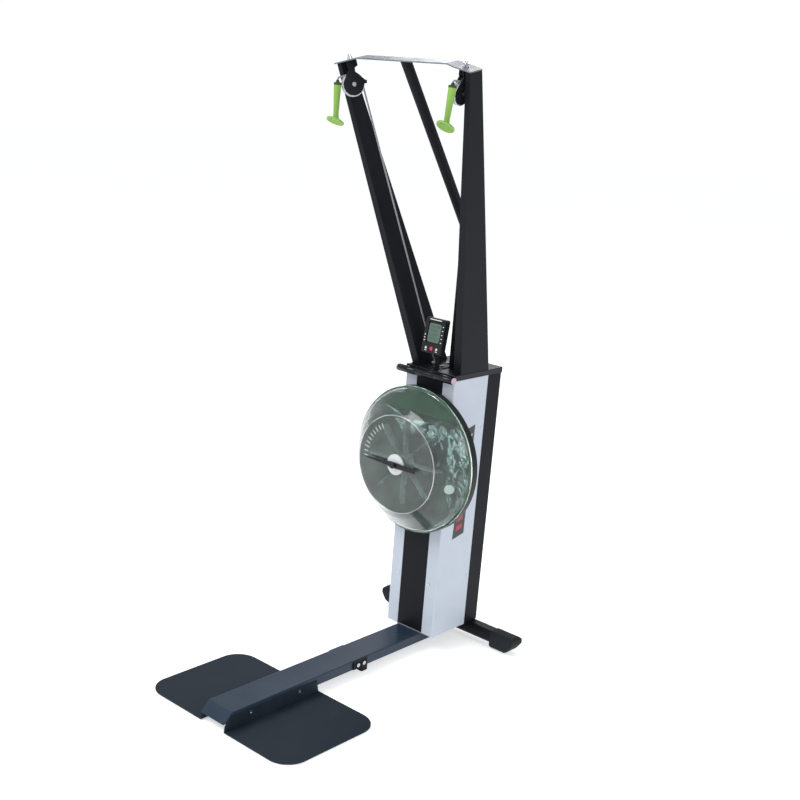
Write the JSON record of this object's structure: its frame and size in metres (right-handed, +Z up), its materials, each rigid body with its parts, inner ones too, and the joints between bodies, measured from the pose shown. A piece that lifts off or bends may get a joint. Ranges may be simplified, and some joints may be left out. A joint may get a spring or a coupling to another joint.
{
  "type": "standing ski trainer",
  "caption": "Standing pulling trainer with a water tank on a column, foot plates, a folding head with two leaning arms, swivelling rope wheels, hand grips and a small console.",
  "frame": {"origin": "on the floor under the middle of the machine's outer box", "axes": "+Z up, +Y from the foot plates towards the column, +X to the user's right"},
  "size_m": [0.704, 1.238, 2.1013],
  "materials": {
    "dark_steel": "satin powder coat",
    "white_steel": "satin powder coat",
    "bright_steel": "plated",
    "light_plate": "brushed",
    "black_rubber": "matt",
    "tank_black": "moulded",
    "seal_green": "soft",
    "clear_tank": "clear",
    "white_nylon": "moulded",
    "grip_green": "soft",
    "grey_rope": "braided",
    "gloss_black": "gloss",
    "lens": "clear",
    "button_red": "gloss",
    "key_white": "gloss"
  },
  "bodies": {
    "stand": {"front_beam": "dark_steel", "rear_beam": "dark_steel", "beam_sleeve": "dark_steel", "splice_plates": "dark_steel", "beam_pad": "black_rubber", "foot_plate_left": "dark_steel", "foot_plate_right": "dark_steel", "plate_feet": "black_rubber", "rear_stabiliser": "dark_steel", "stabiliser_caps": "black_rubber", "front_post": "dark_steel", "rear_post": "dark_steel", "side_panel_left": "white_steel", "side_panel_right": "white_steel", "panel_screws": "bright_steel", "hinge_leaf": "bright_steel", "hinge_pin": "bright_steel", "tank_back": "tank_black", "tank_seal": "seal_green", "tank_front": "clear_tank", "frame_bolts": "bright_steel", "dial_hub": "white_nylon", "bearing_housing": "bright_steel", "shaft_bearings": "bright_steel", "bearing_plate": "dark_steel", "recoil_cords": "black_rubber", "recoil_anchor": "dark_steel"},
    "head": {"top_plate": "dark_steel", "cord_guides": "white_nylon", "fold_lock_screw": "gloss_black", "arm_left": "dark_steel", "arm_right": "dark_steel", "rear_mast": "dark_steel", "crossplate": "light_plate", "head_bolts": "bright_steel", "console_bracket": "dark_steel", "console_pivot": "gloss_black", "left_cord": "grey_rope", "right_cord": "grey_rope"},
    "left_block": {"left_yoke": "dark_steel", "left_axle": "bright_steel"},
    "right_block": {"right_yoke": "dark_steel", "right_axle": "bright_steel"},
    "left_sheave": {"left_wheel": "white_nylon"},
    "right_sheave": {"right_wheel": "white_nylon"},
    "left_grip": {"left_handle": "grip_green"},
    "right_grip": {"right_handle": "grip_green"},
    "left_drum": {"left_spool": "white_nylon"},
    "right_drum": {"right_spool": "white_nylon"},
    "rotor": {"impeller": "tank_black", "impeller_shaft": "bright_steel", "one_way_bearings": "bright_steel"},
    "dial": {"dial_lever": "gloss_black"},
    "plug": {"filler_plug": "white_nylon"},
    "console": {"console_case": "gloss_black", "console_lens": "lens", "console_back": "gloss_black"},
    "start_key": {"start_button": "button_red"},
    "left_side_key": {"left_key": "key_white"},
    "right_side_key": {"right_key": "key_white"}
  },
  "joints": [
    {"name": "fold", "type": "hinge", "parent": "stand", "child": "head", "pos_m": [0, 0.318, 1.058], "axis": [-1, 0, 0], "range_deg": [-90, 0]},
    {"name": "left_swivel", "type": "hinge", "parent": "head", "child": "left_block", "pos_m": [-0.226, 0.11, 2.008], "axis": [-0.2079, -0.2034, 0.9568], "range_deg": [0, 35]},
    {"name": "left_pull", "type": "slide", "parent": "left_block", "child": "left_grip", "axis": [0, 0, -1], "range_m": [0, 1.1], "stiffness_N_per_m": 12, "springref_m": -0.6, "deforming": ["left_cord"]},
    {"name": "left_wheel_spin", "type": "hinge", "parent": "left_block", "child": "left_sheave", "pos_m": [-0.22972, 0.10219, 2.00553], "axis": [0.8865, -0.4526, 0.0964], "continuous": true},
    {"name": "left_spool_spin", "type": "hinge", "parent": "stand", "child": "left_drum", "pos_m": [0, 0.424, 0.746], "axis": [0, 1, 0], "continuous": true},
    {"name": "right_swivel", "type": "hinge", "parent": "head", "child": "right_block", "pos_m": [0.226, 0.11, 2.008], "axis": [0.2079, -0.2034, 0.9568], "range_deg": [-10, 25]},
    {"name": "right_pull", "type": "slide", "parent": "right_block", "child": "right_grip", "axis": [0, -0.1392, -0.9903], "range_m": [0, 1.1], "stiffness_N_per_m": 12, "springref_m": -0.6, "deforming": ["right_cord"]},
    {"name": "right_wheel_spin", "type": "hinge", "parent": "right_block", "child": "right_sheave", "pos_m": [0.226, 0.1012, 2.00613], "axis": [0.9781, 0.0432, -0.2034], "continuous": true},
    {"name": "right_spool_spin", "type": "hinge", "parent": "stand", "child": "right_drum", "pos_m": [0, 0.466, 0.746], "axis": [0, 1, 0], "continuous": true},
    {"name": "impeller_spin", "type": "hinge", "parent": "stand", "child": "rotor", "pos_m": [0, 0.3, 0.746], "axis": [0, 1, 0], "continuous": true},
    {"name": "dial_turn", "type": "hinge", "parent": "stand", "child": "dial", "pos_m": [0, 0.19, 0.746], "axis": [0, 1, 0], "range_deg": [0, 80]},
    {"name": "plug_pull", "type": "slide", "parent": "stand", "child": "plug", "axis": [0.6963, -0.7071, -0.123], "range_m": [0, 0.05]},
    {"name": "console_tilt", "type": "hinge", "parent": "head", "child": "console", "pos_m": [0, 0.37003, 1.13674], "axis": [1, 0, 0], "range_deg": [-5, 20]},
    {"name": "start_press", "type": "slide", "parent": "console", "child": "start_key", "axis": [0, 0.9877, -0.1564], "range_m": [0, 0.0015], "stiffness_N_per_m": 600, "springref_m": -0.001},
    {"name": "left_key_press", "type": "slide", "parent": "console", "child": "left_side_key", "axis": [0, 0.9877, -0.1564], "range_m": [0, 0.0015], "stiffness_N_per_m": 600, "springref_m": -0.001},
    {"name": "right_key_press", "type": "slide", "parent": "console", "child": "right_side_key", "axis": [0, 0.9877, -0.1564], "range_m": [0, 0.0015], "stiffness_N_per_m": 600, "springref_m": -0.001}
  ],
  "couplings": [
    {"joint": "left_wheel_spin", "follows": "left_pull", "rad_per_m": 30.303},
    {"joint": "left_spool_spin", "follows": "left_pull", "rad_per_m": -23.809},
    {"joint": "right_wheel_spin", "follows": "right_pull", "rad_per_m": 30.303},
    {"joint": "right_spool_spin", "follows": "right_pull", "rad_per_m": -23.809}
  ]
}
